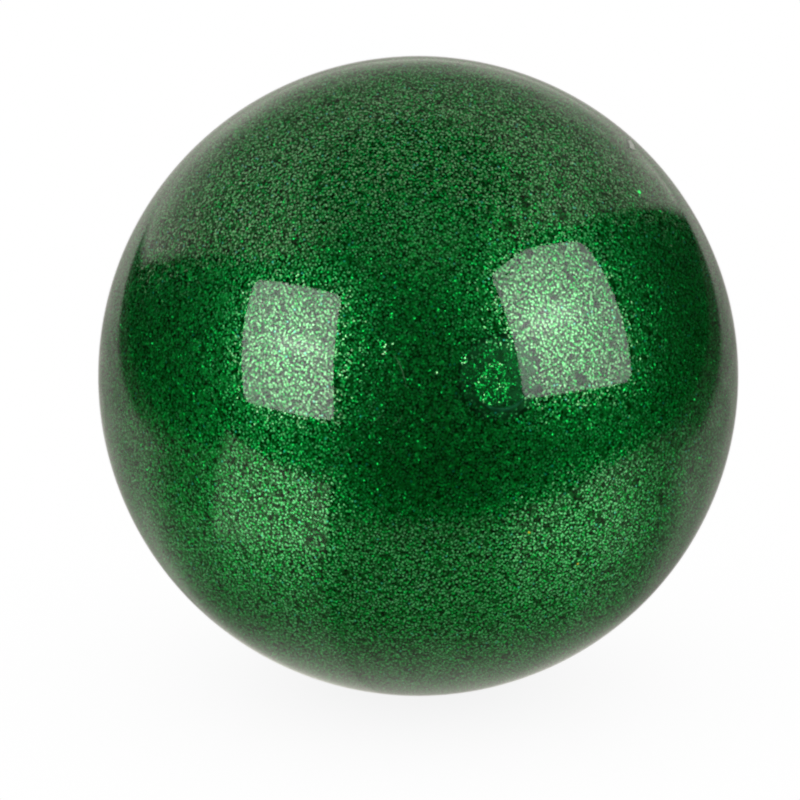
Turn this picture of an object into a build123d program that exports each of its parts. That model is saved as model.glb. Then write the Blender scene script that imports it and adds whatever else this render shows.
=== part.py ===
from build123d import *

import os
from math import atan2, cos, degrees, pi, radians, sin, sqrt

# A cue ball cast in concentric layers: a dark core, a layer of resin full of glitter, and a clear skin that
# is ground and polished to the playing size. The glitter resin goes in through one round gate, which is then
# closed. Millimetres, +Z up, origin at the centre of the ball, -Y is the front.

# Driving dimensions
BALL_DIAMETER = 57.15  # regulation pool ball, 2 1/4 inches
CLEAR_THICKNESS = 0.60  # clear skin, after polishing
GLITTER_THICKNESS = 2.40  # resin with flakes, over the core

GATE_DIAMETER = 4.1  # hole left by the pouring gate
GATE_PLUG_DIAMETER = 3.2  # set glitter resin that stands in the hole
GATE_DEPTH = 2.0  # from the ball's surface
GATE_SINK = 0.04  # the sealing resin shrinks this far below the ball's surface
GATE_AZIMUTH = 14.0  # degrees from the front, towards +X
GATE_ELEVATION = 15.5  # degrees above the equator

FLAKE_ACROSS_FLATS = 0.17  # hexagonal glitter
FLAKE_THICKNESS = 0.03
FLAKE_TILT = 16.0  # degrees, the most that a flake leans from lying flat in the layer
FLAKE_TILT_CYCLE = 14  # flakes along the spiral over which the lean rises, falls and turns the other way
FLAKE_DEPTH = 0.20  # from the outside of the glitter layer to a flake's middle
FLAKE_CLEARANCE = 0.60  # from a green flake's middle to that of a gold flake or a bubble, at least
GREEN_FLAKE_COUNT = 160  # the outermost flakes, evenly spread; the many others are part of the layer

# Azimuth and elevation of the stray gold flakes, and of the two largest trapped bubbles
GOLD_FLAKES = [(20.2, -12.0), (31.5, -20.5), (152.0, 38.0), (-128.0, 5.0), (-97.0, -42.0)]
BUBBLES = [(-6.9, 23.3), (8.3, 20.4)]
BUBBLE_DIAMETER = 0.50  # each lies at the depth of the flakes and reaches up to the clear skin

# Worked-out sizes
BALL_RADIUS = BALL_DIAMETER / 2
GLITTER_RADIUS = BALL_RADIUS - CLEAR_THICKNESS
CORE_RADIUS = GLITTER_RADIUS - GLITTER_THICKNESS
FLAKE_RADIUS = GLITTER_RADIUS - FLAKE_DEPTH
GATE_FLOOR = BALL_RADIUS - GATE_DEPTH
GOLDEN_ANGLE = 180 * (3 - sqrt(5))


def direction(azimuth, elevation):
    """Unit vector from the centre, from degrees. Azimuth 0 is the front and grows towards +X."""
    across, up = radians(azimuth), radians(elevation)
    return Vector(cos(up) * sin(across), -cos(up) * cos(across), sin(up))


def plane_at(radius, azimuth, elevation):
    """Plane that touches the sphere of this radius at the given direction, facing outwards."""
    outward = direction(azimuth, elevation)
    return Plane(origin=outward * radius, z_dir=outward)


def flake_plane(azimuth, elevation, lean, heading):
    """Middle plane of one flake: flat in the layer, then leant over by lean degrees towards heading."""
    flat = plane_at(FLAKE_RADIUS, azimuth, elevation)
    return flat.rotated((0, 0, heading)).rotated((lean, 0, 0))


def spread_directions(count):
    """Directions spread evenly over the whole ball along a spiral, as azimuth and elevation."""
    for step in range(count):
        height = 1 - (2 * step + 1) / count
        yield (step * GOLDEN_ANGLE) % 360 - 180, degrees(atan2(height, sqrt(1 - height * height)))


def green_flake_planes():
    """Middle planes of the green flakes, all clear of the gate, the bubbles and the gold flakes."""
    gate_clear = cos(GATE_DIAMETER / FLAKE_RADIUS)
    small_clear = cos(FLAKE_CLEARANCE / FLAKE_RADIUS)
    gate = direction(GATE_AZIMUTH, GATE_ELEVATION)
    small = [direction(*place) for place in GOLD_FLAKES + BUBBLES]
    for number, (azimuth, elevation) in enumerate(spread_directions(GREEN_FLAKE_COUNT)):
        here = direction(azimuth, elevation)
        if here.dot(gate) > gate_clear or any(here.dot(other) > small_clear for other in small):
            continue
        lean = FLAKE_TILT * sin(2 * pi * number / FLAKE_TILT_CYCLE)
        yield flake_plane(azimuth, elevation, lean, number * GOLDEN_ANGLE)


def gold_flake_planes():
    """Middle planes of the gold flakes, each half as leant as a green flake may be."""
    return [flake_plane(*place, FLAKE_TILT / 2, i * GOLDEN_ANGLE) for i, place in enumerate(GOLD_FLAKES)]


def flakes_at(planes):
    """Thin hexagonal flakes, centred on the given planes."""
    with BuildPart() as flakes:
        with BuildSketch(*planes):
            RegularPolygon(radius=FLAKE_ACROSS_FLATS / 2, side_count=6, major_radius=False)
        extrude(amount=FLAKE_THICKNESS / 2, both=True)
    return flakes.part


gate_plane = Plane(origin=(0, 0, 0), z_dir=direction(GATE_AZIMUTH, GATE_ELEVATION))

# Core: the solid ball of dark resin in the middle
with BuildPart() as core:
    Sphere(CORE_RADIUS)

# Stray gold flakes, a few that got into the green glitter
with BuildPart() as gold_flakes:
    add(flakes_at(gold_flake_planes()))

# The outermost green flakes
with BuildPart() as green_flakes:
    add(flakes_at(list(green_flake_planes())))

# Glitter layer: a shell of resin over the core, with a seat for every flake, two bubbles and the pouring gate
with BuildPart() as glitter_layer:
    Sphere(GLITTER_RADIUS)
    Sphere(CORE_RADIUS, mode=Mode.SUBTRACT)
    with BuildSketch(gate_plane.offset(GATE_FLOOR)):
        Circle(GATE_DIAMETER / 2)
    extrude(amount=GATE_DEPTH, mode=Mode.SUBTRACT)
    with Locations(*[direction(*place) * FLAKE_RADIUS for place in BUBBLES]):
        Sphere(BUBBLE_DIAMETER / 2, mode=Mode.SUBTRACT)
    add(gold_flakes.part, mode=Mode.SUBTRACT)
    add(green_flakes.part, mode=Mode.SUBTRACT)

# Clear skin: the polished playing surface
with BuildPart() as clear_shell:
    Sphere(BALL_RADIUS)
    Sphere(GLITTER_RADIUS, mode=Mode.SUBTRACT)
    with BuildSketch(gate_plane.offset(GATE_FLOOR)):
        Circle(GATE_DIAMETER / 2)
    extrude(amount=2 * GATE_DEPTH, mode=Mode.SUBTRACT)

# Gate plug: the glitter resin that set in the gate, cut off level with the ball
with BuildPart() as gate_plug:
    with BuildSketch(gate_plane.offset(GATE_FLOOR)):
        Circle(GATE_PLUG_DIAMETER / 2)
    extrude(amount=2 * GATE_DEPTH)
    Sphere(BALL_RADIUS, mode=Mode.INTERSECT)

# Gate seal: the ring of clear resin that fills the gap round the plug, a little sunk
with BuildPart() as gate_seal:
    with BuildSketch(gate_plane.offset(GATE_FLOOR)):
        Circle(GATE_DIAMETER / 2)
        Circle(GATE_PLUG_DIAMETER / 2, mode=Mode.SUBTRACT)
    extrude(amount=2 * GATE_DEPTH)
    Sphere(BALL_RADIUS - GATE_SINK, mode=Mode.INTERSECT)

core.part.label = "core"
glitter_layer.part.label = "glitter_layer"
clear_shell.part.label = "clear_shell"
gate_plug.part.label = "gate_plug"
gate_seal.part.label = "gate_seal"
gold_flakes.part.label = "gold_flakes"
green_flakes.part.label = "green_flakes"

os.makedirs("parts", exist_ok=True)
for piece in (core, glitter_layer, clear_shell, gate_plug, gate_seal, gold_flakes, green_flakes):
    export_step(piece.part, f"parts/{piece.part.label}.step")
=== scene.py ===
from math import cos, pi, radians, sin, sqrt

import bmesh
import bpy
import numpy as np
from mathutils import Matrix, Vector


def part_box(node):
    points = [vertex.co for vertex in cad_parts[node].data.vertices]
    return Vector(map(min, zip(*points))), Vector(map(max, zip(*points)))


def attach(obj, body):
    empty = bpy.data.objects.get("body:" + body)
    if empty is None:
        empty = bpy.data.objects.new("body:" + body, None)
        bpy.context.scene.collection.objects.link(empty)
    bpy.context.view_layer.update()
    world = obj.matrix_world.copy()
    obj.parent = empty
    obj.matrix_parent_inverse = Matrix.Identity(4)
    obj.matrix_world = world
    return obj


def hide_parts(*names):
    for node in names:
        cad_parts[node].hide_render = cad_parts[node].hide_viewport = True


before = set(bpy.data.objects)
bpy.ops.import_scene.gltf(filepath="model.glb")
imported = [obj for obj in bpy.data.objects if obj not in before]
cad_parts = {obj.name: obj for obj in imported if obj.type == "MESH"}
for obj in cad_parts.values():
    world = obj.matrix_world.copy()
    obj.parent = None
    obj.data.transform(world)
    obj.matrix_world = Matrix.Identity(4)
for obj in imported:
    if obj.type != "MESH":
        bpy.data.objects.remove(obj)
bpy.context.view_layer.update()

# A pool cue ball cast in clear resin over green glitter. Metres, +Z up, the front of the ball faces -Y.
# Everything is placed from the CAD nodes: the ball's middle, its radii and the axis of the pouring gate.

random = np.random.default_rng(2250)
MM = 0.001


def node_radius(node):
    """Radius of a CAD node that is a whole ball or a layer of one, from its height."""
    low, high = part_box(node)
    return (high.z - low.z) / 2


def node_direction(node):
    """Unit vector from the ball's middle towards a CAD node."""
    low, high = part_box(node)
    return ((low + high) / 2).normalized()


BALL_RADIUS = node_radius("clear_shell")
GLITTER_RADIUS = node_radius("glitter_layer")
BED_DEPTH = 0.85 * MM  # how far under the outside of the glitter layer the flakes close up completely
GATE_AXIS = node_direction("gate_plug")
GATE_RADIUS = 2.05 * MM  # of the hole
PLUG_RADIUS = 1.60 * MM  # of the glitter resin in it
BARE_RADIUS = 2.2 * MM  # round the gate, where no flakes reached
GATE_SINK = 0.0015 * MM  # of the seal's ring, below the skin
SKIN_SECTORS = 300  # round the skin and the bed, about the gate's axis
SKIN_STEP = 0.6 * MM  # between their rings, away from the gate
RESIN_INDEX = 1.5
FLAKE_COUNT = 140000  # before those near the gate and in the thin patches are taken out
FLAKE_RADIUS = 0.090 * MM  # to the corners of a hexagonal flake
FLAKE_THICKNESS = 0.02 * MM
BUBBLES = ((-6.9, 23.3), (8.3, 20.4))  # azimuth and elevation of the trapped bubbles
CAMERA_ELEVATION = radians(18)
CAMERA_DISTANCE = 0.70
HALF_VIEW = 1.25  # half of the picture's width, in ball radii as seen
BALL_RIGHT, BALL_UP = 0.057, 0.075  # of the picture's middle, in ball radii


# ---------------------------------------------------------------- directions and frames

def seen(right, up, towards):
    """Direction given as right of, above and towards the camera, turned into the scene's axes."""
    x = Vector((1, 0, 0))
    y = Vector((0, sin(CAMERA_ELEVATION), cos(CAMERA_ELEVATION)))
    z = Vector((0, -cos(CAMERA_ELEVATION), sin(CAMERA_ELEVATION)))
    return (x * right + y * up + z * towards).normalized()


def world_direction(azimuth, elevation):
    """Unit vector at an azimuth in degrees from the front towards +X, and an elevation in degrees."""
    across, up = radians(azimuth), radians(elevation)
    return np.array([cos(up) * sin(across), -cos(up) * cos(across), sin(up)])


def unit(vectors):
    """Array of vectors, each brought to a length of one."""
    return vectors / np.linalg.norm(vectors, axis=-1, keepdims=True)


def tangents(outward):
    """Two unit vectors at right angles to each of the given unit vectors, and to each other, as arrays."""
    helper = np.where(np.abs(outward[:, 2:3]) < 0.9, [[0.0, 0.0, 1.0]], [[1.0, 0.0, 0.0]])
    side = unit(np.cross(helper, outward))
    return side, np.cross(outward, side)


def angle_from(directions, axis):
    """Angle in radians of each unit vector from an axis."""
    return np.arccos(np.clip(directions @ np.array(axis), -1, 1))


BARE_AXIS = world_direction(15.3, 17.0)  # middle of the place round the gate that no flakes reached
FRONT = np.array(seen(0, 0, 1))  # towards the place that the ball is looked at from
RIGHT_LIGHT = world_direction(54, 27)  # towards the soft boxes
LEFT_LIGHT = world_direction(-50, 20)


# ---------------------------------------------------------------- node helpers

def new_material(name):
    """Material with an empty node tree, and its output node."""
    material = bpy.data.materials.new(name)
    material.use_nodes = True
    material.node_tree.nodes.clear()
    output = material.node_tree.nodes.new("ShaderNodeOutputMaterial")
    return material, material.node_tree, output


def principled(tree, output, **values):
    """Principled shader on the output, with its plain values set on its own sockets."""
    shader = tree.nodes.new("ShaderNodeBsdfPrincipled")
    for socket, value in values.items():
        shader.inputs[socket.replace("_", " ")].default_value = value
    tree.links.new(shader.outputs["BSDF"], output.inputs["Surface"])
    return shader


def maths(tree, operation, *inputs):
    """Math node whose inputs are sockets or numbers. Gives its output socket."""
    node = tree.nodes.new("ShaderNodeMath")
    node.operation = operation
    for socket, value in zip(node.inputs, inputs):
        if isinstance(value, bpy.types.NodeSocket):
            tree.links.new(value, socket)
        else:
            socket.default_value = value
    return node.outputs[0]


def product(tree, *values):
    """Sockets or numbers multiplied together."""
    result = values[0]
    for value in values[1:]:
        result = maths(tree, "MULTIPLY", result, value)
    return result


def sum_of(tree, *values):
    """Sockets or numbers added up."""
    result = values[0]
    for value in values[1:]:
        result = maths(tree, "ADD", result, value)
    return result


def object_place(tree):
    """Socket of the place of a point in its object's own coordinates."""
    return tree.nodes.new("ShaderNodeTexCoord").outputs["Object"]


def noise(tree, scale, detail):
    """Socket of noise from 0 to 1 that is fixed to the object."""
    node = tree.nodes.new("ShaderNodeTexNoise")
    node.inputs["Scale"].default_value = scale
    node.inputs["Detail"].default_value = detail
    tree.links.new(object_place(tree), node.inputs["Vector"])
    return node.outputs["Fac"]


def camera_sees(tree, output, plain, other):
    """Puts one shader on the output for the camera, and another for everything else."""
    path = tree.nodes.new("ShaderNodeLightPath")
    mix = tree.nodes.new("ShaderNodeMixShader")
    tree.links.new(path.outputs["Is Camera Ray"], mix.inputs["Fac"])
    tree.links.new(other.outputs[0], mix.inputs[1])
    tree.links.new(plain.outputs[0], mix.inputs[2])
    tree.links.new(mix.outputs[0], output.inputs["Surface"])


def rising(tree, value, low, high):
    """0 where a socket's value is below low, 1 above high, and a smooth step between. It falls where low is
    over high."""
    node = tree.nodes.new("ShaderNodeMapRange")
    node.interpolation_type = "SMOOTHSTEP"
    tree.links.new(value, node.inputs["Value"])
    if low < high:
        ends = (low, high, 0, 1)
    else:
        ends = (high, low, 1, 0)
    for name, end in zip(("From Min", "From Max", "To Min", "To Max"), ends):
        node.inputs[name].default_value = end
    return node.outputs["Result"]


def band(tree, value, low, high, low_edge, high_edge):
    """1 where a socket's value is from low to high and 0 outside, with soft edges of these half widths."""
    return product(tree, rising(tree, value, low - low_edge, low + low_edge),
                   rising(tree, value, high + high_edge, high - high_edge))


# ---------------------------------------------------------------- mesh helpers

def mesh_object(name, vertices, faces, materials, material_index=None, smooth=False):
    """New object from arrays of vertices and of faces that all have the same number of corners."""
    mesh = bpy.data.meshes.new(name)
    corners = faces.shape[1]
    mesh.vertices.add(len(vertices))
    mesh.vertices.foreach_set("co", np.ascontiguousarray(vertices, np.float32).ravel())
    mesh.loops.add(faces.size)
    mesh.loops.foreach_set("vertex_index", np.ascontiguousarray(faces, np.int32).ravel())
    mesh.polygons.add(len(faces))
    mesh.polygons.foreach_set("loop_start", np.arange(0, faces.size, corners, dtype=np.int32))
    mesh.polygons.foreach_set("use_smooth", np.full(len(faces), smooth))
    if material_index is not None:
        mesh.polygons.foreach_set("material_index", np.ascontiguousarray(material_index, np.int32))
    mesh.update(calc_edges=True)
    for material in materials:
        mesh.materials.append(material)
    obj = bpy.data.objects.new(name, mesh)
    bpy.context.scene.collection.objects.link(obj)
    return obj


def ball_mesh(name, radius_at, arcs, sectors, material):
    """Closed ball whose poles lie on the gate's axis. arcs are the angles of its rings, and radius_at gives
    the distance from the middle for an array of unit vectors."""
    axis = np.array(GATE_AXIS)[None, :]
    side, across = tangents(axis)
    turn = np.arange(sectors) * 2 * pi / sectors
    ring = np.cos(turn)[:, None] * side + np.sin(turn)[:, None] * across
    directions = [axis]
    for arc in arcs:
        directions.append(cos(arc) * axis + sin(arc) * ring)
    directions.append(-axis)
    directions = np.concatenate(directions)
    vertices = directions * radius_at(directions)[:, None]

    first = 1 + sectors * np.arange(len(arcs) - 1)[:, None]
    here = np.arange(sectors)[None, :]
    after = (here + 1) % sectors
    quads = np.stack([first + here, first + sectors + here, first + sectors + after, first + after], -1)
    quads = quads.reshape(-1, 4)

    mesh = bmesh.new()
    points = [mesh.verts.new(v) for v in vertices]
    for quad in quads:
        mesh.faces.new([points[i] for i in quad])
    last = 1 + sectors * (len(arcs) - 1)
    for i in range(sectors):
        j = (i + 1) % sectors
        mesh.faces.new([points[0], points[1 + i], points[1 + j]])
        mesh.faces.new([points[-1], points[last + j], points[last + i]])
    for face in mesh.faces:
        face.smooth = True
    data = bpy.data.meshes.new(name)
    mesh.to_mesh(data)
    mesh.free()
    data.materials.append(material)
    obj = bpy.data.objects.new(name, data)
    bpy.context.scene.collection.objects.link(obj)
    return obj


def lens_mesh(name, axis, reach, outside, thickness, material, ragged=0.0, stretch=1.0):
    """Closed cap that follows the ball: reach along the ball from its axis, outside from the ball's middle,
    and thinning to its edge. A ragged edge goes in and out by that share of the reach, and stretch lengthens
    the cap along the ball's level circles."""
    axis = np.array(axis)[None, :]
    side, across = tangents(axis)
    sectors, rings = 48, 8
    turn = np.arange(sectors) * 2 * pi / sectors
    edge = 1 + ragged * (0.6 * np.sin(2 * turn + 1) + 0.4 * np.sin(5 * turn) + 0.3 * np.sin(9 * turn + 2))
    edge *= np.sqrt((stretch * np.cos(turn)) ** 2 + np.sin(turn) ** 2)
    spokes = unit(stretch * np.cos(turn)[:, None] * side + np.sin(turn)[:, None] * across)
    shells = []
    for ring in range(1, rings + 1):
        arc = (reach / BALL_RADIUS * ring / rings) * edge[:, None]
        shells.append(np.cos(arc) * axis + np.sin(arc) * spokes)
    top = np.concatenate(shells) * outside
    share = np.repeat(np.arange(1, rings) / rings, sectors)[:, None]
    under = np.concatenate(shells[:-1]) * (outside - thickness * (1 - share ** 2))
    vertices = np.concatenate([axis * outside, top, axis * (outside - thickness), under])

    # the underside starts at its own tip and ends at the outer ring of the top
    under_tip = len(top) + 1
    ring_starts = 1 + sectors * np.arange(rings)
    under_starts = np.append(under_tip + 1 + sectors * np.arange(rings - 1), ring_starts[-1])
    here = np.arange(sectors)
    after = (here + 1) % sectors
    quads = []
    for starts, flip in ((ring_starts, False), (under_starts, True)):
        for near, far in zip(starts[:-1], starts[1:]):
            quad = [near + here, far + here, far + after, near + after]
            quads.append(np.stack(quad[::-1] if flip else quad, -1))
    triangles = [quad[:, corners] for quad in quads for corners in ([0, 1, 2], [0, 2, 3])]
    triangles.append(np.stack([np.zeros(sectors, int), 1 + here, 1 + after], -1))
    first_under = under_starts[0]
    triangles.append(np.stack([np.full(sectors, under_tip), first_under + after, first_under + here], -1))
    return mesh_object(name, vertices, np.concatenate(triangles), [material], smooth=True)


def ribbon(name, path, height, half_width, half_thickness, material):
    """Closed strand that follows the ball at one height from its middle, and narrows to both ends."""
    path = unit(path)
    sideways = unit(np.cross(path, np.gradient(path, axis=0)))
    taper = np.sqrt(np.sin(np.linspace(0.04, pi - 0.04, len(path))))[:, None]
    sides = 8
    rings = []
    for turn in np.arange(sides) * 2 * pi / sides:
        outwards = path * (height + half_thickness * sin(turn) * taper)
        rings.append(outwards + sideways * half_width * cos(turn) * taper)
    vertices = np.stack(rings, 1).reshape(-1, 3)
    here = np.arange(sides)
    after = (here + 1) % sides
    faces = []
    for start in sides * np.arange(len(path) - 1):
        faces.append(np.stack([start + here, start + after, start + sides + after], -1))
        faces.append(np.stack([start + here, start + sides + after, start + sides + here], -1))
    last = sides * (len(path) - 1)
    fan = np.arange(1, sides - 1)
    faces.append(np.stack([0 * fan, fan + 1, fan], -1))
    faces.append(np.stack([last + 0 * fan, last + fan, last + fan + 1], -1))
    return mesh_object(name, vertices, np.concatenate(faces), [material], smooth=True)


def finish_piece(piece, slot, *replaced):
    """Lets a piece ride on the ball's one body and hides the CAD nodes it stands for. slot is not used."""
    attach(piece, "root")
    if replaced:
        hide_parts(*replaced)


# ---------------------------------------------------------------- materials

def clear_resin():
    """Polished clear resin: glass with the index of cast polyester."""
    material, tree, output = new_material("clear_resin")
    principled(tree, output, Base_Color=(1, 1, 1, 1), Roughness=0.0, IOR=RESIN_INDEX,
               Transmission_Weight=1.0)
    return material


def foil(name, colour, roughness, gloss):
    """Lacquered aluminium foil of one tint. Gloss is the share that its clear lacquer covers."""
    material, tree, output = new_material(name)
    principled(tree, output, Base_Color=(*colour, 1), Metallic=1.0, Roughness=roughness,
               Coat_Weight=gloss, Coat_IOR=2.0, Coat_Roughness=0.1)
    return material


FOILS = [
    foil("foil_green", (0.022, 0.90, 0.160), 0.29, 0.9),
    foil("foil_deep_green", (0.010, 0.50, 0.085), 0.34, 0.6),
    foil("foil_light_green", (0.090, 1.00, 0.260), 0.28, 1.0),
    foil("foil_teal", (0.015, 0.90, 0.480), 0.29, 0.6),
    foil("foil_bare_green", (0.008, 0.90, 0.120), 0.34, 0.0),
    foil("foil_gold", (1.0, 0.95, 0.05), 0.29, 0.3),
]
GREEN_FOIL, LIGHT_FOIL, BARE_FOIL, GOLD_FOIL = 0, 2, 4, 5
FOIL_SHARE = (0.46, 0.32, 0.205, 0.015)  # of the first four foils among the flakes that lie flat


def mottled_resin(name, dark, light, grain, roughness, metallic=0.0):
    """Cloudy resin whose colour drifts between two tones, over patches about as long as the grain."""
    material, tree, output = new_material(name)
    shader = principled(tree, output, Roughness=roughness, Metallic=metallic, Specular_IOR_Level=0.25)
    ramp = tree.nodes.new("ShaderNodeValToRGB")
    ramp.color_ramp.elements[0].position = 0.35
    ramp.color_ramp.elements[0].color = (*dark, 1)
    ramp.color_ramp.elements[1].position = 0.65
    ramp.color_ramp.elements[1].color = (*light, 1)
    tree.links.new(noise(tree, 1 / grain, 4), ramp.inputs["Fac"])
    tree.links.new(ramp.outputs["Color"], shader.inputs["Base Color"])
    return material


def bare_resin():
    """Dark green resin with no flakes but a little glitter dust."""
    return mottled_resin("bare_resin", (0.003, 0.10, 0.022), (0.008, 0.22, 0.050), 0.6 * MM, 0.42, 0.7)


def cloudy_resin():
    """Pale scattering resin, as in a scratch."""
    return mottled_resin("cloudy_resin", (0.05, 0.36, 0.12), (0.12, 0.52, 0.20), 0.5 * MM, 0.5)


def chipped_resin():
    """White broken resin."""
    return mottled_resin("chipped_resin", (0.42, 0.46, 0.38), (0.90, 0.92, 0.84), 0.15 * MM, 0.45)


def glitter_bed_resin():
    """The deep glitter, where flakes lie over flakes: small cells that each lean and shine their own way."""
    material, tree, output = new_material("glitter_bed")
    shader = principled(tree, output, Metallic=1.0, Roughness=0.45)
    cells = tree.nodes.new("ShaderNodeTexVoronoi")
    cells.inputs["Scale"].default_value = 1 / (2 * FLAKE_RADIUS)
    tree.links.new(object_place(tree), cells.inputs["Vector"])

    tone = tree.nodes.new("ShaderNodeSeparateColor")
    tree.links.new(cells.outputs["Color"], tone.inputs["Color"])
    ramp = tree.nodes.new("ShaderNodeValToRGB")
    ramp.color_ramp.elements[0].position = 0.3
    ramp.color_ramp.elements[0].color = (0.001, 0.06, 0.008, 1)
    ramp.color_ramp.elements[1].color = (0.006, 0.44, 0.055, 1)
    tree.links.new(tone.outputs["Red"], ramp.inputs["Fac"])
    tree.links.new(ramp.outputs["Color"], shader.inputs["Base Color"])

    # each cell's normal leans by a random amount, up to this much along every axis
    most = 0.35
    lean = tree.nodes.new("ShaderNodeVectorMath")
    lean.operation = "MULTIPLY_ADD"
    tree.links.new(cells.outputs["Color"], lean.inputs[0])
    lean.inputs[1].default_value = (2 * most, 2 * most, 2 * most)
    lean.inputs[2].default_value = (-most, -most, -most)
    outward = tree.nodes.new("ShaderNodeNewGeometry")
    leant = tree.nodes.new("ShaderNodeVectorMath")
    leant.operation = "ADD"
    tree.links.new(outward.outputs["Normal"], leant.inputs[0])
    tree.links.new(lean.outputs[0], leant.inputs[1])
    normal = tree.nodes.new("ShaderNodeVectorMath")
    normal.operation = "NORMALIZE"
    tree.links.new(leant.outputs[0], normal.inputs[0])
    tree.links.new(normal.outputs[0], shader.inputs["Normal"])
    return material


# ---------------------------------------------------------------- the ball's pieces

def ripple(directions):
    """Slow waves left in the skin by polishing, in metres, a few micrometres high."""
    waves = np.random.default_rng(7)
    height = np.zeros(len(directions))
    for length_mm, height_mm in ((26, 0.012), (17, 0.007), (11, 0.004), (7, 0.0016)):
        for _ in range(5):
            heading = waves.normal(size=3)
            heading *= 2 * pi * BALL_RADIUS / (length_mm * MM) / np.linalg.norm(heading)
            height += height_mm * MM * np.sin(directions @ heading + waves.uniform(0, 2 * pi)) / 5
    return height


def skin_radius(directions):
    """Outside of the clear skin: the ball, its polishing waves, and the sealed gate's sunk ring."""
    from_gate = angle_from(directions, GATE_AXIS) * BALL_RADIUS
    middle, half = (GATE_RADIUS + PLUG_RADIUS) / 2, (GATE_RADIUS - PLUG_RADIUS) / 2
    groove = 0.5 + 0.5 * np.cos(np.clip((from_gate - middle) / half, -1, 1) * pi)
    return BALL_RADIUS + ripple(directions) - GATE_SINK * groove


def ring_arcs(fine_to, fine_step, coarse_step):
    """Ring angles from pole to pole: fine near the gate, then growing to the coarse step. The steps are
    lengths on the ball."""
    arcs, place, step = [], 0.0, fine_step
    while place + step < pi * BALL_RADIUS - 0.5 * coarse_step:
        place += step
        arcs.append(place / BALL_RADIUS)
        if place > fine_to:
            step = min(coarse_step, step * 1.12)
    return arcs


def flake_places(count, fullness):
    """Unit vectors spread over the ball along a spiral and then jostled, with bare patches a few flakes wide.
    The greater the fullness, the fewer the patches."""
    step = np.arange(count) + 0.5
    height = 1 - 2 * step / count
    turn = step * pi * (3 - sqrt(5))
    level = np.sqrt(1 - height * height)
    places = np.stack([level * np.cos(turn), level * np.sin(turn), height], -1)
    spacing = sqrt(4 * pi / count)
    places = unit(places + random.normal(scale=0.26 * spacing, size=places.shape))
    patchy = np.zeros(count)
    patch_length = 1.1 * MM
    for _ in range(14):
        heading = random.normal(size=3)
        heading *= 2 * pi * BALL_RADIUS / patch_length / np.linalg.norm(heading)
        patchy += np.sin(places @ heading + random.uniform(0, 2 * pi))
    return places[patchy > -fullness]


def under_resin(places, direction):
    """Directions, at places under the skin, of rays that run in the given direction outside it."""
    outwards = places @ direction
    sideways = (direction - places * outwards[:, None]) / RESIN_INDEX
    return sideways + places * np.sqrt(1 - (sideways ** 2).sum(1))[:, None]


def leaning(facings, leans):
    """Unit vectors turned away from the given ones by angles in radians, each towards a random side."""
    side, across = tangents(facings)
    heading = random.uniform(0, 2 * pi, len(facings))[:, None]
    lean_side = np.cos(heading) * side + np.sin(heading) * across
    return facings * np.cos(leans)[:, None] + lean_side * np.sin(leans)[:, None]


def glinting(places, light, scatter):
    """Facings of flakes that mirror a light towards the front, within some scatter in radians."""
    facings = unit(under_resin(places, light) + under_resin(places, FRONT))
    return leaning(facings, np.abs(random.normal(0, scatter, len(places))))


def scattered(middle, count, radius, tall=1.0):
    """Random unit vectors within a radius on the ball round a middle, or in an oval that much taller."""
    side, across = tangents(middle[None, :])
    reach = np.sqrt(random.random(count))[:, None] * radius / BALL_RADIUS
    turn = random.uniform(0, 2 * pi, count)[:, None]
    return unit(middle + reach * (np.cos(turn) * side + tall * np.sin(turn) * across))


def flakes(name, places, heights, facings, radii, tints):
    """One piece of closed hexagonal flakes, each with a flat hexagon on its facing and a low point behind it.
    Heights are from the ball's middle, radii go to the corners and tints count through FOILS."""
    side, across = tangents(facings)
    turn = random.uniform(0, 2 * pi, len(places))
    middles = places * heights[:, None]
    rim = []
    for corner in range(6):
        angle = (turn + corner * pi / 3)[:, None]
        rim.append(middles + radii[:, None] * (np.cos(angle) * side + np.sin(angle) * across))
    back = middles - facings * FLAKE_THICKNESS
    vertices = np.concatenate([np.stack(rim, 1), back[:, None]], 1).reshape(-1, 3)
    base = 7 * np.arange(len(places))[:, None]  # each flake has six corners and the point behind
    tops = [base + np.array([[0, k, k + 1]]) for k in range(1, 5)]
    unders = [base + np.array([[(k + 1) % 6, k, 6]]) for k in range(6)]
    faces = np.stack(tops + unders, 1).reshape(-1, 3)
    return mesh_object(name, vertices, faces, FOILS, np.repeat(tints, len(tops + unders)))


def top_flakes():
    """The flakes that show, from the outside of the glitter layer down to the bed."""
    places = flake_places(FLAKE_COUNT, fullness=4.4)
    from_gate = angle_from(places, GATE_AXIS) * BALL_RADIUS
    from_bare = angle_from(places, BARE_AXIS) * BALL_RADIUS
    fade = np.where(places[:, 0] > BARE_AXIS[0], 0.9 * MM, 0.3 * MM)  # they thin out more slowly on the right
    reach = BARE_RADIUS + np.abs(random.normal(size=len(places))) * fade
    places = places[(from_gate > GATE_RADIUS + 0.1 * MM) & (from_bare > reach)]
    count = len(places)
    depth = random.uniform(0.04, 0.50, count) * MM

    # most flakes lie flat, some lean a little and a few a lot. Beyond 4 degrees they have no lacquer.
    kind = random.random(count)
    spread = np.select([kind < 0.64, kind < 0.93], [radians(1.8), radians(5)], radians(16))
    lean = np.minimum(np.abs(random.normal(0, 1, count)) * spread, radians(60))
    facings = leaning(places, lean)
    radius = FLAKE_RADIUS * random.uniform(0.88, 1.08, count)
    tint = random.choice(len(FOIL_SHARE), count, p=FOIL_SHARE)
    tint[lean > radians(4)] = BARE_FOIL

    # one piece for each level band of the ball
    bands = 7
    level = np.minimum((places[:, 2] + 1) / 2 * bands, bands - 1).astype(int)
    for number in range(bands):
        chosen = level == number
        piece = flakes(f"glitter_flakes_{number + 1}", places[chosen], GLITTER_RADIUS - depth[chosen],
                       facings[chosen], radius[chosen], tint[chosen])
        finish_piece(piece, "green_film")


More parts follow.
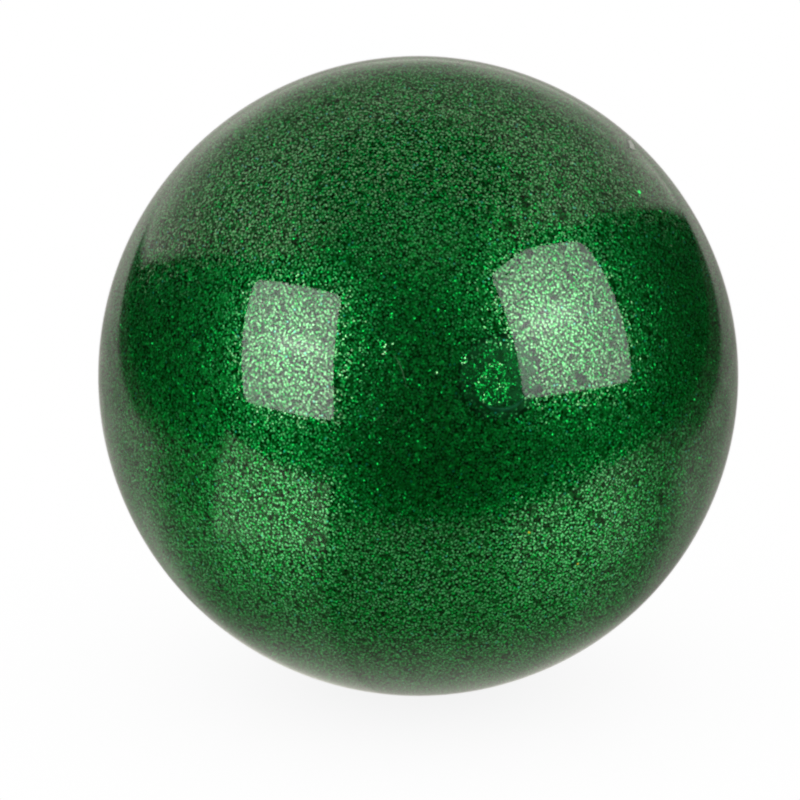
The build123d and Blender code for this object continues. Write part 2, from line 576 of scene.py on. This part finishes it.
def gate():
    """The closed pouring gate: bare resin round it, and a knot of bright flakes near the surface in it."""
    floor_radius = GLITTER_RADIUS - 0.45 * MM
    piece = lens_mesh("gate_floor", BARE_AXIS, 3.9 * MM, floor_radius, 0.35 * MM, bare_resin())
    finish_piece(piece, "glitter_resin", "gate_seal")

    # the knot of flakes in the plug
    count = 200
    places = scattered(world_direction(13.4, 16.0), count, PLUG_RADIUS, 1.25)
    facings = glinting(places, RIGHT_LIGHT, random.choice([radians(8), radians(20)], count))
    tint = random.choice([BARE_FOIL] * 4 + [GREEN_FOIL], count)
    heights = np.full(count, GLITTER_RADIUS + 0.25 * MM)
    radius = FLAKE_RADIUS * random.uniform(0.60, 0.85, count)
    piece = flakes("gate_flakes", places, heights, facings, radius, tint)
    finish_piece(piece, "green_film", "gate_plug")

    # small flakes that drifted into the bare resin round it
    count = 380
    places = scattered(BARE_AXIS, count, 2.8 * MM)
    facings = glinting(places, RIGHT_LIGHT, random.choice([radians(14), radians(30)], count))
    heights = GLITTER_RADIUS - random.uniform(0.1, 0.4, count) * MM
    radius = FLAKE_RADIUS * random.uniform(0.35, 0.75, count)
    piece = flakes("drifted_flakes", places, heights, facings, radius, np.full(count, BARE_FOIL))
    finish_piece(piece, "green_film")

    # the lower edge of the seal, which catches the light
    middle = world_direction(15, 16.4)
    side, across = tangents(middle[None, :])
    turn = np.radians(np.linspace(-128, -42, 24))[:, None]
    path = middle + 2.5 * MM / BALL_RADIUS * (np.cos(turn) * side + np.sin(turn) * across)
    seal = mottled_resin("seal_resin", (0.010, 0.20, 0.07), (0.018, 0.32, 0.11), 0.5 * MM, 0.5, 0.7)
    piece = ribbon("gate_edge", path, BALL_RADIUS - 0.12 * MM, 0.20 * MM, 0.04 * MM, seal)
    finish_piece(piece, "clear_resin")


def bubbles():
    """Bright flakes that ring the trapped bubbles, and a few that shine on their own."""
    rings = []
    in_ring = 7
    for bubble in BUBBLES:
        middle = world_direction(*bubble)
        side, across = tangents(middle[None, :])
        start = random.uniform(0, 2 * pi, 1)
        for turn in start + np.arange(in_ring) * 2 * pi / in_ring + random.normal(0, 0.2, in_ring):
            reach = random.uniform(0.21, 0.30) * MM / BALL_RADIUS
            rings.append((middle + reach * (cos(turn) * side + sin(turn) * across))[0])
    # azimuth and elevation of those that shine on their own
    single = [(-5, 23.4), (-6.7, 21.6), (-6.4, 21.9), (8.9, 17.3), (8.8, 15.9), (6.8, 16.7), (-7, 6),
              (-6.8, 6.7), (2.1, 18.8), (3.3, 18.4), (-6.9, 16.9), (-7.9, 10.2), (63.8, 43.2)]
    places = unit(np.array(rings + [world_direction(*place) for place in single]))
    lights = np.where(places[:, :1] > 0, RIGHT_LIGHT, LEFT_LIGHT)
    facings = [glinting(place[None, :], light, radians(2)) for place, light in zip(places, lights)]
    count = len(places)
    height = GLITTER_RADIUS + 0.02 * MM
    radius = FLAKE_RADIUS * random.uniform(0.65, 0.85, count)
    tint = random.choice([LIGHT_FOIL, BARE_FOIL, BARE_FOIL], count)
    piece = flakes("bright_flakes", places, np.full(count, height), np.concatenate(facings), radius, tint)
    finish_piece(piece, "green_film")

    large = world_direction(69, 43)[None, :]
    facing = glinting(large, RIGHT_LIGHT, 0)
    radius = np.array([2.2 * FLAKE_RADIUS])
    piece = flakes("large_flake", large, np.array([height]), facing, radius, np.array([BARE_FOIL]))
    finish_piece(piece, "green_film")


def gold():
    """The stray gold flakes, where the CAD model has them and turned to catch the light."""
    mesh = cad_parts["gold_flakes"].data
    points = np.array([vertex.co[:] for vertex in mesh.vertices])
    places = []
    while len(points):
        same_flake = np.linalg.norm(points - points[0], axis=1) < 1 * MM
        places.append(points[same_flake].mean(0))
        points = points[~same_flake]
    places = unit(np.array(places))
    count = len(places)
    facings = leaning(places, np.full(count, radians(0.5)))
    heights = np.full(count, GLITTER_RADIUS + 0.03 * MM)
    radius = np.linspace(1.4, 1.0, count) * FLAKE_RADIUS
    piece = flakes("gold_glitter", places, heights, facings, radius, np.full(count, GOLD_FOIL))
    finish_piece(piece, "gold_film", "gold_flakes")


def marks():
    """Small marks of use: a hairline just under the surface, fine scratches and a chip by the upper right."""
    pale = cloudy_resin()
    hairline = [(-4.8, 21.4), (-4.1, 20.7), (-3.5, 19.7), (-3.0, 18.6), (-2.6, 17.3), (-2.2, 15.8)]
    scratches = [[(-14.6, 3.2), (-12.8, 4.2), (-11.0, 5.6)], [(-4.6, 9.2), (-3.7, 9.9), (-3.0, 10.9)],
                 [(-5.3, 6.4), (-4.9, 5.0), (-4.0, 4.0)], [(-7.9, 9.7), (-7.0, 10.6), (-6.1, 11.2)]]
    for number, places in enumerate([hairline] + scratches):
        points = np.array([world_direction(*place) for place in places])
        at = np.linspace(0, len(points) - 1, 6 * len(points))
        path = np.stack([np.interp(at, np.arange(len(points)), points[:, axis]) for axis in range(3)], -1)
        width = (0.045 if number == 0 else 0.030) * MM
        piece = ribbon(f"hairline_{number + 1}", path, BALL_RADIUS - 0.05 * MM, width, 0.010 * MM, pale)
        finish_piece(piece, "clear_resin")

    piece = lens_mesh("chip", world_direction(90, 48.8), 0.46 * MM, BALL_RADIUS + 0.03 * MM, 0.12 * MM,
                      chipped_resin(), ragged=0.30, stretch=2.3)
    finish_piece(piece, "clear_resin")


def ball():
    """The clear skin, and the glitter bed deep under it."""
    arcs = ring_arcs(3 * MM, 0.05 * MM, SKIN_STEP)
    skin = ball_mesh("polished_skin", skin_radius, arcs, SKIN_SECTORS, clear_resin())
    finish_piece(skin, "clear_resin", "clear_shell")

    def bed_radius(directions):
        return np.full(len(directions), GLITTER_RADIUS - BED_DEPTH)

    arcs = ring_arcs(3 * MM, 0.3 * MM, SKIN_STEP)
    bed = ball_mesh("glitter_bed", bed_radius, arcs, SKIN_SECTORS, glitter_bed_resin())
    finish_piece(bed, "glitter_resin", "glitter_layer")


# ---------------------------------------------------------------- stage

def light_material(name, colour, strength_at, colour_under=None):
    """Emission of one colour, or of another for the flakes under the skin. strength_at(tree) gives its
    strength socket."""
    material, tree, output = new_material(name)
    glow = tree.nodes.new("ShaderNodeEmission")
    glow.inputs["Color"].default_value = (*colour, 1)
    if colour_under:
        choose = tree.nodes.new("ShaderNodeMix")
        choose.data_type = "RGBA"
        tree.links.new(under_skin(tree), choose.inputs["Factor"])
        # the node's colour sockets are the inputs 6 and 7 and the output 2
        choose.inputs[6].default_value = (*colour, 1)
        choose.inputs[7].default_value = (*colour_under, 1)
        tree.links.new(choose.outputs[2], glow.inputs["Color"])
    tree.links.new(strength_at(tree), glow.inputs["Strength"])
    tree.links.new(glow.outputs[0], output.inputs["Surface"])
    return material


SHEET_DISTANCE = 3.0  # of the lit sheets from the ball
WHITE, WARM = (1, 1, 1), (1, 0.97, 0.88)
BOX_UNDER = (1.05, 0.71, 0.75)  # what the flakes see of the soft boxes, dimmer so that they don't burn out
CANOPY_UNDER = (2.4, 1.12, 1.45)  # what they see of the canopy


def sheet(name, rows, colour, strength_at, colour_under=None):
    """Curved glowing sheet round the ball. rows go from top to bottom, and each is a list of
    (azimuth, elevation) from left to right. The UV map runs from 0 to 1 along and down the sheet."""
    points = np.array([[world_direction(*place) for place in row] for row in rows])
    steps = 12
    fine = []
    for axis in (0, 1):
        spans = points.shape[axis] - 1
        at = np.linspace(0, spans, spans * steps + 1)
        low = np.minimum(at.astype(int), spans - 1)
        share = (at - low).reshape((-1, 1, 1) if axis == 0 else (1, -1, 1))
        points = points.take(low, axis) * (1 - share) + points.take(low + 1, axis) * share
        fine.append(len(at))
    points *= SHEET_DISTANCE / np.linalg.norm(points, axis=2)[:, :, None]
    down, along = fine
    here = (np.arange(down - 1)[:, None] * along + np.arange(along - 1)[None, :]).ravel()
    faces = np.stack([here, here + 1, here + along + 1, here + along], -1)
    material = light_material(name, colour, strength_at, colour_under)
    obj = mesh_object(name, points.reshape(-1, 3), faces, [material])
    u, v = np.meshgrid(np.linspace(0, 1, along), np.linspace(0, 1, down))
    corners = np.stack([u.ravel(), v.ravel()], -1)[faces.ravel()]
    layer = obj.data.uv_layers.new(name="UVMap")
    layer.data.foreach_set("uv", np.ascontiguousarray(corners, np.float32).ravel())
    obj.visible_camera = False


def uv_parts(tree):
    """Sockets of how far along and down a sheet a point lies."""
    part = tree.nodes.new("ShaderNodeSeparateXYZ")
    tree.links.new(tree.nodes.new("ShaderNodeUVMap").outputs["UV"], part.inputs[0])
    return part.outputs["X"], part.outputs["Y"]


def under_skin(tree):
    """1 for light that reaches the camera through the clear skin, from the flakes, and 0 for what the skin
    mirrors."""
    depth = tree.nodes.new("ShaderNodeLightPath").outputs["Transmission Depth"]
    return maths(tree, "GREATER_THAN", depth, 0.5)


def mirrored_or_under(tree, mirrored, under):
    """One strength for what the skin mirrors and another for what the flakes under it do. Each is a number or
    a socket."""
    choose = tree.nodes.new("ShaderNodeMix")
    tree.links.new(under_skin(tree), choose.inputs["Factor"])
    for name, value in (("A", mirrored), ("B", under)):
        if isinstance(value, bpy.types.NodeSocket):
            tree.links.new(value, choose.inputs[name])
        else:
            choose.inputs[name].default_value = value
    return choose.outputs["Result"]


def glow_at(tree, u, v, middle, reach, peak):
    """Round bright patch of a sheet: peak at its middle, fading over its reach, both along and down."""
    u = maths(tree, "DIVIDE", maths(tree, "SUBTRACT", u, middle[0]), reach[0])
    v = maths(tree, "DIVIDE", maths(tree, "SUBTRACT", v, middle[1]), reach[1])
    square = sum_of(tree, product(tree, u, u), product(tree, v, v))
    return product(tree, maths(tree, "EXPONENT", product(tree, square, -1.0)), peak)


def rounded(tree, u, v, corner):
    """1 inside a sheet and 0 beyond its rounded corners, with a narrow soft edge."""
    over = []
    for part in (u, v):
        from_middle = maths(tree, "ABSOLUTE", maths(tree, "SUBTRACT", part, 0.5))
        beyond = maths(tree, "MAXIMUM", maths(tree, "SUBTRACT", from_middle, 0.5 - corner), 0.0)
        over.append(product(tree, beyond, beyond))
    return rising(tree, maths(tree, "SQRT", sum_of(tree, *over)), corner, 0.8 * corner)


def box_light(even, *glows):
    """Strength of a soft box: even light, brighter round its lamps, within rounded corners. Each glow is its
    middle, its reach and its peak."""
    def strength_at(tree):
        u, v = uv_parts(tree)
        lamps = [glow_at(tree, u, v, *glow) for glow in glows]
        return product(tree, rounded(tree, u, v, 0.08), sum_of(tree, even, *lamps))
    return strength_at


def soft_boxes():
    """The two soft boxes in front of the ball, left and right."""
    left = [[(-79, 34), (-36, 43)], [(-64, 0), (-29, 0)]]
    light = box_light(3.1, ((0.63, 0.46), (0.26, 0.05), 2.6), ((0.6, 0.5), (0.45, 0.35), 0.8))
    sheet("soft_box_left", left, WHITE, light, BOX_UNDER)
    right = [[(38, 50), (66, 52), (94, 40)], [(37, 6), (60, 4), (82, 1)]]
    light = box_light(2.4, ((0.38, 0.48), (0.22, 0.08), 2.6), ((0.3, 0.5), (0.4, 0.4), 1.2))
    sheet("soft_box_right", right, WHITE, light, BOX_UNDER)


def canopy_strength(tree):
    """Strength of the canopy: bright low down and dim overhead, folded like cloth, and gone at its ends."""
    u, v = uv_parts(tree)
    part = tree.nodes.new("ShaderNodeSeparateXYZ")
    tree.links.new(object_place(tree), part.inputs[0])

    # height is the sine of the elevation, seen from the ball
    height = maths(tree, "DIVIDE", part.outputs["Z"], SHEET_DISTANCE)
    lit = product(tree, rising(tree, height, sin(radians(70)), sin(radians(50))), 0.58)
    low = product(tree, rising(tree, height, sin(radians(34)), 0.0), 0.70)
    top = product(tree, rising(tree, height, sin(radians(50)), sin(radians(75))), 0.34)
    mirror_share = sum_of(tree, product(tree, rising(tree, u, 0.45, 0.75), 0.40), 0.54)
    mirrored = sum_of(tree, product(tree, lit, mirror_share), product(tree, low, 1.6), 0.04)
    under = product(tree, sum_of(tree, lit, product(tree, low, 0.5), top, 0.20), 1.40)

    ends = product(tree, rising(tree, u, 0.0, 0.12), rising(tree, u, 1.0, 0.86))
    uneven = sum_of(tree, product(tree, noise(tree, 2, 3), 0.6), 0.15)
    edge = product(tree, ends, rising(tree, v, 1.0, 0.95), uneven)
    return product(tree, mirrored_or_under(tree, mirrored, under), edge)


def ceiling_strength(tree):
    """Strength of the ceiling, which only the flakes see much of: dim, and soft at every edge but its top."""
    u, v = uv_parts(tree)
    shape = product(tree, band(tree, u, 0.1, 0.9, 0.1, 0.1), rising(tree, v, 1.0, 0.45))
    return product(tree, shape, mirrored_or_under(tree, 0.03, 0.42))


def canopy():
    """White cloth behind the ball, which comes forward over both soft boxes, and a dim ceiling before it."""
    lower_edge = [(-46, 46), (-66, 46), (-84, 38), (-96, 32), (-110, 22), (-124, 11), (-138, 1), (-156, -4),
                  (-180, -4), (156, -4), (148, 3), (133, 18), (111, 36), (97, 43), (80, 53), (60, 54),
                  (38, 53)]
    upper_edge = 86
    rows = []
    for share in (0, 0.33, 0.67, 1):
        rows.append([(azimuth, low * share + upper_edge * (1 - share)) for azimuth, low in lower_edge])
    sheet("canopy", rows, WARM, canopy_strength, CANOPY_UNDER)

    over = [[(azimuth, elevation) for azimuth in (-58, -23, 14, 50)] for elevation in (87, 74, 60, 46)]
    sheet("ceiling", over, WARM, ceiling_strength)


def table_pools(tree, x, y, square):
    """Strengths of the light pools on the table, as the skin mirrors them and as the flakes do. x to the
    right and y towards the front are in ball radii from the ball's foot, and square is the square of the
    distance from there."""
    reach = maths(tree, "SQRT", square)
    turn = product(tree, maths(tree, "ARCTAN2", x, y), 180 / pi)  # azimuth in degrees
    behind = maths(tree, "MAXIMUM", product(tree, y, -0.15), 0.0)
    wide_x = maths(tree, "DIVIDE", x, sum_of(tree, behind, 1.0))  # narrower further behind

    # the table's front edge is an oval
    across, forward = maths(tree, "DIVIDE", x, 4.4), maths(tree, "DIVIDE", y, 2.15)
    oval = sum_of(tree, product(tree, across, across), product(tree, forward, forward))
    on_table = rising(tree, oval, 1.03, 0.94)

    # on the left the table ends at a straight edge
    straight_edge = rising(tree, y, 3.0, 2.8)
    soft_straight_edge = rising(tree, y, 3.1, 2.75)
    behind_ball = band(tree, wide_x, -3.3, 2.9, 0.35, 0.35)
    behind_left = band(tree, wide_x, -3.3, -0.6, 0.35, 0.35)
    far_behind = band(tree, wide_x, -4.7, 4.7, 0.5, 0.5)

    # each pool: how bright the skin mirrors it, how bright the flakes do, and the masks that bound it
    pools = [
        # under the ball
        (0.50, 0.05, rising(tree, reach, 1.00, 0.35)),
        # in front, and brighter in the light of the right soft box
        (0.045, 0.41, on_table, band(tree, turn, -25, 92, 1.5, 12), rising(tree, y, -0.3, 0.3)),
        (0.10, 0.80, on_table, band(tree, turn, 28, 72, 2, 8), rising(tree, reach, 0.6, 1.9)),
        (0.08, 0.05, on_table, band(tree, turn, 55, 105, 6, 8)),
        # in the light of the left soft box
        (0.00, 1.30, band(tree, turn, -62, -26, 6, 1), rising(tree, reach, 0.8, 2.4), soft_straight_edge),
        (0.46, 0.15, band(tree, turn, -66, -27, 2.5, 1), rising(tree, reach, 1.4, 1.8), straight_edge),
        (0.06, 0.20, band(tree, turn, -112, -27, 8, 1.5), rising(tree, reach, 4.6, 3.8)),
        (0.07, 0.28, band(tree, turn, -112, -29, 8, 3), rising(tree, reach, 2.1, 1.5)),
        # behind the ball, below the cloth
        (0.29, 0.38, behind_ball, rising(tree, y, 0.3, -0.5)),
        (0.07, 0.05, behind_left, rising(tree, y, -0.3, -1.0)),
        (0.14, 0.08, behind_ball, rising(tree, y, -4.0, -12.0)),
        (0.05, 0.08, far_behind, rising(tree, y, 0.3, -0.5)),
    ]
    uneven = sum_of(tree, product(tree, noise(tree, 1.6 / BALL_RADIUS, 3), 0.8), 0.6)
    total, total_under = 0.0, 0.0
    for mirrored, under, *masks in pools:
        mask = product(tree, uneven, *masks)
        total = sum_of(tree, product(tree, mask, mirrored), total)
        total_under = sum_of(tree, product(tree, mask, under), total_under)
    return total, total_under


def floor():
    """Pale floor. The camera sees it plain with a painted soft contact shadow of the ball; the ball mirrors
    it as a table top in a dark room, with painted pools of light where the soft boxes would light it."""
    material, tree, output = new_material("pale_floor")
    place = tree.nodes.new("ShaderNodeSeparateXYZ")
    tree.links.new(object_place(tree), place.inputs[0])
    x = maths(tree, "DIVIDE", place.outputs["X"], BALL_RADIUS)
    y = maths(tree, "DIVIDE", place.outputs["Y"], -BALL_RADIUS)  # towards the front
    square = sum_of(tree, product(tree, x, x), product(tree, y, y))

    # painted shadow: deepest at the ball's foot and fading as (1 + d^2)^-3, with d in ball radii
    painted_shadow = maths(tree, "POWER", sum_of(tree, square, 1.0), -3.0)
    lit = maths(tree, "SUBTRACT", 1.0, product(tree, painted_shadow, 0.12))
    plain = tree.nodes.new("ShaderNodeEmission")
    tree.links.new(lit, plain.inputs["Strength"])

    table = tree.nodes.new("ShaderNodeEmission")
    table.inputs["Color"].default_value = (*WARM, 1)
    total, total_under = table_pools(tree, x, y, square)
    tree.links.new(mirrored_or_under(tree, total, total_under), table.inputs["Strength"])

    camera_sees(tree, output, plain, table)

    size = 60 * BALL_RADIUS
    corners = np.array([(-1, -1), (1, -1), (1, 1), (-1, 1)]) * size
    corners = np.column_stack([corners, np.full(4, -BALL_RADIUS)])
    mesh_object("floor", corners, np.array([[0, 1, 2, 3]]), [material])


def room():
    """White behind the floor for the camera, and a dark room for everything else."""
    world = bpy.data.worlds.new("room")
    bpy.context.scene.world = world
    world.use_nodes = True
    tree = world.node_tree
    tree.nodes.clear()
    output = tree.nodes.new("ShaderNodeOutputWorld")
    white, dark = tree.nodes.new("ShaderNodeBackground"), tree.nodes.new("ShaderNodeBackground")
    white.inputs["Color"].default_value = (1, 1, 1, 1)
    dark.inputs["Color"].default_value = (0.004, 0.004, 0.004, 1)
    camera_sees(tree, output, white, dark)


def camera():
    """Long lens in front of the ball, a little above it."""
    data = bpy.data.cameras.new("camera")
    data.sensor_width = 36
    outline_distance = sqrt(CAMERA_DISTANCE ** 2 - BALL_RADIUS ** 2)
    data.lens = data.sensor_width / 2 / HALF_VIEW * outline_distance / BALL_RADIUS
    obj = bpy.data.objects.new("camera", data)
    bpy.context.scene.collection.objects.link(obj)
    back = seen(0, 0, 1)
    shift = (seen(1, 0, 0) * BALL_RIGHT + seen(0, 1, 0) * BALL_UP) * BALL_RADIUS
    obj.location = back * CAMERA_DISTANCE - shift
    obj.rotation_mode = "QUATERNION"
    obj.rotation_quaternion = (-back).to_track_quat("-Z", "Y")
    bpy.context.scene.camera = obj
    bpy.context.scene.view_settings.view_transform = "Standard"
    bpy.context.scene.cycles.filter_width = 2.4  # a soft lens


camera()
room()
floor()
soft_boxes()
canopy()
ball()
top_flakes()
gate()
bubbles()
gold()
marks()

# the CAD nodes that stay as they are
core_resin = mottled_resin("core_resin", (0.006, 0.03, 0.012), (0.012, 0.06, 0.024), 4 * MM, 0.3)
for node, material in (("core", core_resin), ("green_flakes", FOILS[GREEN_FOIL])):
    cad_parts[node].data.materials.clear()
    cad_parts[node].data.materials.append(material)
